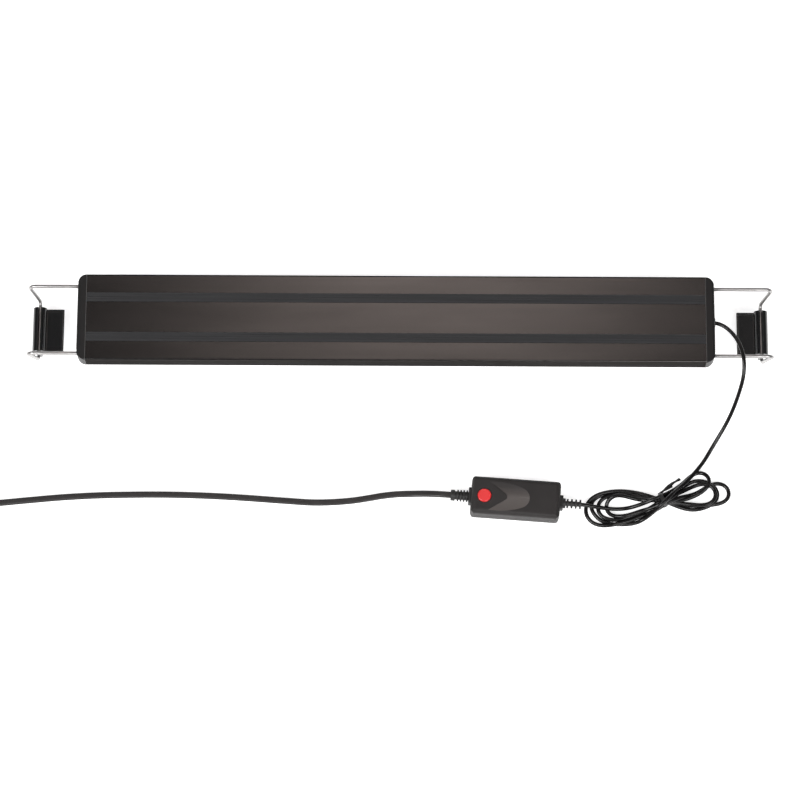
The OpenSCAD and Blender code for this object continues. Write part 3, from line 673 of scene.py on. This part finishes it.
def make_wire(side):
    """A bracket's wire as one smooth tube with round bends."""
    sign = 1 if side == "right" else -1
    tip = HOUSING_L / 2 + REACH[side]
    corners = [
        (tip - LEG_LENGTH, -LEG_Y, LEG_Z), (tip, -LEG_Y, LEG_Z),
        (tip - WIRE_LEAN, -BAR_Y, BAR_Z), (tip - WIRE_LEAN, BAR_Y, BAR_Z),
        (tip, LEG_Y, LEG_Z), (tip - LEG_LENGTH, LEG_Y, LEG_Z),
    ]
    corners = [Vector(c) for c in corners]
    line = [corners[0]]
    for a, p, b in zip(corners, corners[1:], corners[2:]):
        line += round_corner(a, p, b, BEND_R, 10)
    line.append(corners[-1])
    line = np.array([(BODY_X + sign * q.x, q.y, q.z) for q in line])
    frames = frames_along(line, (0, 1, 1))
    wire = sweep("wire_" + side, line, circle_section(WIRE_R - 0.01 * MM, 20), frames)
    paint(wire, MATERIALS["wire"])
    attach(wire, "bracket_" + side)
    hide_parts("bracket_wire_" + side)


def round_corner(a, p, b, r, steps):
    d1, d2 = (p - a).normalized(), (b - p).normalized()
    turn = d1.angle(d2)
    start = p - d1 * r * math.tan(turn / 2)
    side = (d2 - d1 * d1.dot(d2)).normalized()
    out = []
    for i in range(steps + 1):
        t = turn * i / steps
        out.append(start + d1 * r * math.sin(t) + side * r * (1 - math.cos(t)))
    return out


def hull_of(points):
    """Convex outline of flat points, anticlockwise."""
    points = sorted(points)

    def half(run):
        out = []
        for q in run:
            while len(out) > 1 and (
                (out[-1][0] - out[-2][0]) * (q[1] - out[-2][1])
                <= (out[-1][1] - out[-2][1]) * (q[0] - out[-2][0])
            ):
                out.pop()
            out.append(q)
        return out[:-1]

    return half(points) + half(points[::-1])


def make_tie(lamp_line, order):
    """Twist tie: a flat ribbon about the hank's waist and its twisted tails."""
    axis = np.array([math.cos(TIE_TURN), math.sin(TIE_TURN), 0])
    across = np.array([-math.sin(TIE_TURN), math.cos(TIE_TURN), 0])
    offset = lamp_line - np.array(TIE_AT)
    inside = offset[
        (np.abs(offset @ axis) < 2 * MM) & (np.abs(offset @ across) < 9 * MM)
        & (order < HANK[0][0])
    ]
    r = LAMP_CORD_D / 2 + 0.2 * MM
    rim = [(r * math.cos(a), r * math.sin(a)) for a in np.linspace(0, 2 * math.pi, 24)]
    cloud = [(u + a, v + b) for u, v in zip(inside @ across, inside[:, 2]) for a, b in rim]
    outline = hull_of(cloud)
    outline = even(np.array([(u, v, 0) for u, v in outline + outline[:1]]), 0.5 * MM)[:-1, :2]
    for _ in range(4):
        outline = (np.roll(outline, 1, 0) + 2 * outline + np.roll(outline, -1, 0)) / 4
    outline = np.vstack([outline, outline[:1]])
    loop = np.array(TIE_AT) + np.outer(outline[:, 0], across)
    loop[:, 2] = np.maximum(outline[:, 1], 0.4 * MM)
    d = np.gradient(loop, axis=0)
    d /= np.linalg.norm(d, axis=1)[:, None]
    side = np.tile(axis, (len(loop), 1))
    ribbon = [(-1.6 * MM, -0.15 * MM), (-0.5 * MM, -0.3 * MM), (0.5 * MM, -0.3 * MM),
              (1.6 * MM, -0.15 * MM), (1.6 * MM, 0.1 * MM), (0.4 * MM, 0.4 * MM),
              (-0.4 * MM, 0.4 * MM), (-1.6 * MM, 0.1 * MM)]
    wraps = sweep("tie_wraps", loop, ribbon, (d, side, np.cross(d, side)))
    tails = make_tails()
    for piece in (wraps, *tails):
        paint(piece, MATERIALS["tie"])
        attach(piece, "root")
    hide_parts("hank_tie")
    return [wraps, *tails]


def make_tails():
    """The twisted ends of the tie, lying up along the bundle."""
    out = []
    rise, bow = 1.4 * MM, 0.8 * MM
    starts = in_metres([(203.6, -130.8, 9), (204.6, -130.4, 10.4)])
    ends = in_metres([(214.2, -123.8, 8.5), (220.6, -117.4, 7.2)])
    for k, (start, end) in enumerate(zip(starts, ends)):
        t = np.linspace(0, 1, 40)[:, None]
        line = start + t * (end - start)
        line[:, 2] += rise * np.sin(math.pi * t[:, 0])
        line[:, 1] += bow * np.sin(math.pi * t[:, 0])
        d, side, lid = frames_along(line, (0, 0, 1))
        spin = t * math.pi * 1.6 + k
        turned = side * np.cos(spin) + lid * np.sin(spin)
        ribbon = [(-1.3 * MM, 0), (-1.1 * MM, 0.6 * MM), (0, 0.9 * MM), (1.1 * MM, 0.6 * MM),
                  (1.3 * MM, 0), (1.1 * MM, -0.6 * MM), (0, -0.9 * MM), (-1.1 * MM, -0.6 * MM)]
        out.append(sweep(f"tie_tail_{k}", line, ribbon, (d, turned, np.cross(d, turned))))
    return out


def make_leds(node, gel, name):
    """Each LED as a pale package with a recessed window of gel."""
    bm = bmesh.new()
    bm.from_mesh(nodes[node].data)
    bmesh.ops.remove_doubles(bm, verts=bm.verts, dist=0.002 * MM)
    centres = sorted({tuple(round(c, 5) for c in island) for island in island_centres(bm)})
    bm.free()
    verts, faces, gel_faces = [], [], []
    for centre in centres:
        add_led(verts, faces, gel_faces, centre)
    obj = new_object(name, verts, faces, smooth=False)
    paint(obj, MATERIALS["led_body"])
    obj.data.materials.append(gel)
    for i in gel_faces:
        obj.data.polygons[i].material_index = 1
    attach(obj, "root")
    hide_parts(node)


def island_centres(bm):
    """Middle of each separate solid in the mesh."""
    seen = set()
    for start in bm.verts:
        if start in seen:
            continue
        group, queue = [], [start]
        seen.add(start)
        while queue:
            v = queue.pop()
            group.append(v.co)
            for edge in v.link_edges:
                other = edge.other_vert(v)
                if other not in seen:
                    seen.add(other)
                    queue.append(other)
        low = [min(c[k] for c in group) for k in range(3)]
        high = [max(c[k] for c in group) for k in range(3)]
        yield [(a + b) / 2 for a, b in zip(low, high)]


def add_led(verts, faces, gel_faces, centre):
    """Frustum package facing down, with a sloping well and a flat window."""
    rings = [  # half length, half width, height below the board, in millimetres
        (2.8, 1.5, 0.45), (2.8, 1.5, -0.3), (2.65, 1.35, -0.45), (2.2, 1.05, -0.45),
        (2.05, 0.9, -0.25),
    ]
    base = len(verts)
    for a, b, h in rings:
        for sx, sy in ((-1, -1), (1, -1), (1, 1), (-1, 1)):
            verts.append((centre[0] + sx * a * MM, centre[1] + sy * b * MM, centre[2] + h * MM))
    faces.append(tuple(base + i for i in range(4)))
    for k in range(len(rings) - 1):
        for i in range(4):
            j = (i + 1) % 4
            a, b = base + 4 * k, base + 4 * (k + 1)
            faces.append((a + j, a + i, b + i, b + j))
    gel_faces.append(len(faces))
    last = base + 4 * (len(rings) - 1)
    faces.append(tuple(last + i for i in (3, 2, 1, 0)))


def scoop_width(x):
    """Half the scoop's width at the distance x along it."""
    side_y = SCOOP_SIDE_R - SCOOP_HALF
    tip_x, tip_r = SCOOP_TIP
    meet = SCOOP_MID + (tip_x - SCOOP_MID) * SCOOP_SIDE_R / math.hypot(tip_x - SCOOP_MID, side_y)
    if x < meet:
        return math.sqrt(SCOOP_SIDE_R**2 - (x - SCOOP_MID) ** 2) - side_y
    return math.sqrt(max(tip_r**2 - (x - tip_x) ** 2, (0.1 * MM) ** 2))


def make_scoop(case):
    """The thumb scoop's dished floor: steep under its far edge, then rising to the near one."""
    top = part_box("driver_case_upper")[1].z
    rim, depth, cut = 0.12, 0.66, 0.7  # in millimetres
    far_share = 0.3
    bm = bmesh.new()
    bm.from_mesh(case.data)
    others = [
        f for f in bm.faces
        if f.normal.z <= 0.98
        or not top - 1.3 * MM < f.calc_center_median().z < top - 0.1 * MM
    ]
    bmesh.ops.delete(bm, geom=others, context="FACES")
    turn = Matrix.Rotation(DRIVER_TURN, 4, "Z")
    to_scoop = (Matrix.Translation(DRIVER_AT) @ turn @ Matrix.Translation(BUTTON_AT)).inverted()
    bm.transform(to_scoop)
    for axis, low, high in ((0, -10, 40), (1, -13, 13)):
        for k in range(low, high):
            plane = [0, 0, 0]
            plane[axis] = 1
            bmesh.ops.bisect_plane(
                bm, geom=bm.verts[:] + bm.edges[:] + bm.faces[:],
                plane_co=[c * k * cut * MM for c in plane], plane_no=plane,
            )
    for v in bm.verts:
        half = scoop_width(v.co.x)
        near = min(1, max(0, 0.5 + v.co.y / (2 * half)))
        if near > 0.7:
            fall = math.sin(math.pi / 2 * min(1, (1 - near) / far_share))
        else:
            fall = (near / 0.7) ** 0.9
        v.co.z = top - (rim + depth * fall) * MM
    bm.transform(to_scoop.inverted())
    mesh = bpy.data.meshes.new("scoop_dish")
    bm.to_mesh(mesh)
    bm.free()
    mesh.materials.clear()
    mesh.shade_smooth()
    dish = bpy.data.objects.new("scoop_dish", mesh)
    bpy.context.scene.collection.objects.link(dish)
    paint(dish, MATERIALS["scoop"])
    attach(dish, "root")
    return dish


def paint_strips(housing):
    """The floors and ribs of the two strips along the top are matt."""
    mesh = housing.data
    mesh.materials.append(MATERIALS["strip"])
    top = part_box("housing_extrusion")[1].z
    low, high = top - 0.6 * MM, top - 0.02 * MM
    for face in mesh.polygons:
        if STRIP_IN < abs(face.center.y) < STRIP_OUT and low < face.center.z < high:
            face.material_index = 1


def make_pieces():
    """Every detailed piece that takes a CAD node's place; returns those on the leads."""
    looks = MATERIALS
    housing = softened("housing_extrusion", looks["anodised"], 0.12 * MM, 2)
    paint_strips(housing)
    for side in ("left", "right"):
        softened("end_cap_" + side, looks["cap"], 0.3 * MM)
        softened("tank_clip_" + side, looks["clip"], 0.35 * MM)
        make_wire(side)
    case = softened("driver_case_upper", looks["driver"], 0.25 * MM)
    make_scoop(case)
    softened("driver_case_lower", looks["driver"], 0.25 * MM)
    softened("power_button", looks["button"], 0.3 * MM)
    outlet = softened("outlet_boot", looks["rubber"], 0.2 * MM)
    plug = [
        softened("inlet_boot", looks["rubber"], 0.2 * MM),
        softened("plug_body", looks["plug"], 1.2 * MM, 4),
        nodes["plug_pins"],
        nodes["coil_tie"],
    ]
    make_leds("white_leds", looks["led_white"], "leds_white")
    make_leds("blue_leds", looks["led_blue"], "leds_blue")
    return [outlet], plug


CAD_FINISH = {
    "end_gasket_left": "gasket", "end_gasket_right": "gasket",
    "cap_screws_left": "screw", "cap_screws_right": "screw",
    "lens_cover": "lens", "thermal_pad": "pad", "led_board": "board", "led_leads": "lead",
    "cord_grommet": "rubber", "wire_stops_left": "stop", "wire_stops_right": "stop",
    "driver_board": "pcb", "transformer": "transformer", "capacitors": "capacitor",
    "power_switch": "switch", "button_spring": "spring", "coil_tie": "tie",
    "plug_pins": "pins",
}


def paint_cad_nodes():
    for node, key in CAD_FINISH.items():
        nodes[node].data.materials.clear()
        nodes[node].data.materials.append(MATERIALS[key])


# ---- Studio ----


def make_floor():
    size = 12
    floor = new_object(
        "floor",
        [(-size, -size, 0), (size, -size, 0), (size, size, 0), (-size, size, 0)],
        [(0, 1, 2, 3)],
    )
    m = Nodes("floor", (0.9, 0.9, 0.895), 0.6, Emission_Color=(1, 1, 1, 1), Emission_Strength=0.75)
    m.tint(m.noise(3, 2), (0.88, 0.88, 0.875), (0.91, 0.91, 0.905))
    floor.data.materials.append(m.material)


def area_light(name, place, target, size, power, color=(1, 1, 1)):
    data = bpy.data.lights.new(name, "AREA")
    data.shape = "RECTANGLE"
    data.size, data.size_y = size
    data.energy = power
    data.color = color
    lamp = bpy.data.objects.new(name, data)
    bpy.context.scene.collection.objects.link(lamp)
    lamp.location = place
    away = Vector(place) - Vector(target)
    lamp.rotation_euler = away.to_track_quat("Z", "Y").to_euler()


def make_lights():
    area_light("over", (0.06, 0.9, 2.4), (0.02, 0, 0), (0.6, 0.7), 4.9, (1, 0.88, 0.83))
    area_light("front_left", (-1.3, -1.1, 1.9), (0, -0.05, 0), (1.2, 0.9), 46)
    area_light("front_right", (0.9, -1.5, 1.8), (0, -0.05, 0), (1.6, 0.8), 32)
    world = bpy.data.worlds.new("studio")
    world.use_nodes = True
    make_sky(world.node_tree)
    bpy.context.scene.world = world
    view = bpy.context.scene.view_settings
    view.view_transform = "Standard"
    view.look = "None"


def make_sky(tree):
    """Grey studio walls, darker towards the floor, below an even pale ceiling."""
    where = tree.nodes.new("ShaderNodeTexCoord")
    split = tree.nodes.new("ShaderNodeSeparateXYZ")
    ramp = tree.nodes.new("ShaderNodeValToRGB")
    tree.links.new(where.outputs["Generated"], split.inputs["Vector"])
    tree.links.new(split.outputs["Z"], ramp.inputs["Fac"])
    tree.links.new(ramp.outputs["Color"], tree.nodes["Background"].inputs["Color"])
    low, high = ramp.color_ramp.elements
    low.position, low.color = 0.05, (0.05, 0.05, 0.052, 1)
    high.position, high.color = 0.6, (0.16, 0.16, 0.165, 1)
    tree.nodes["Background"].inputs["Strength"].default_value = 1.0


# ---- Build ----

make_camera()
make_materials()
lamp_line, lamp_order = lamp_cord_line()
lamp_cord = make_lamp_cord(lamp_line)
mains_cord, mains_line = make_mains_cord()
tie = make_tie(lamp_line, lamp_order)
outlet, plug = make_pieces()
declare_lamp_cord(lamp_line)
declare_mains_cord(mains_cord, mains_line, plug)
paint_cad_nodes()
make_floor()
make_lights()
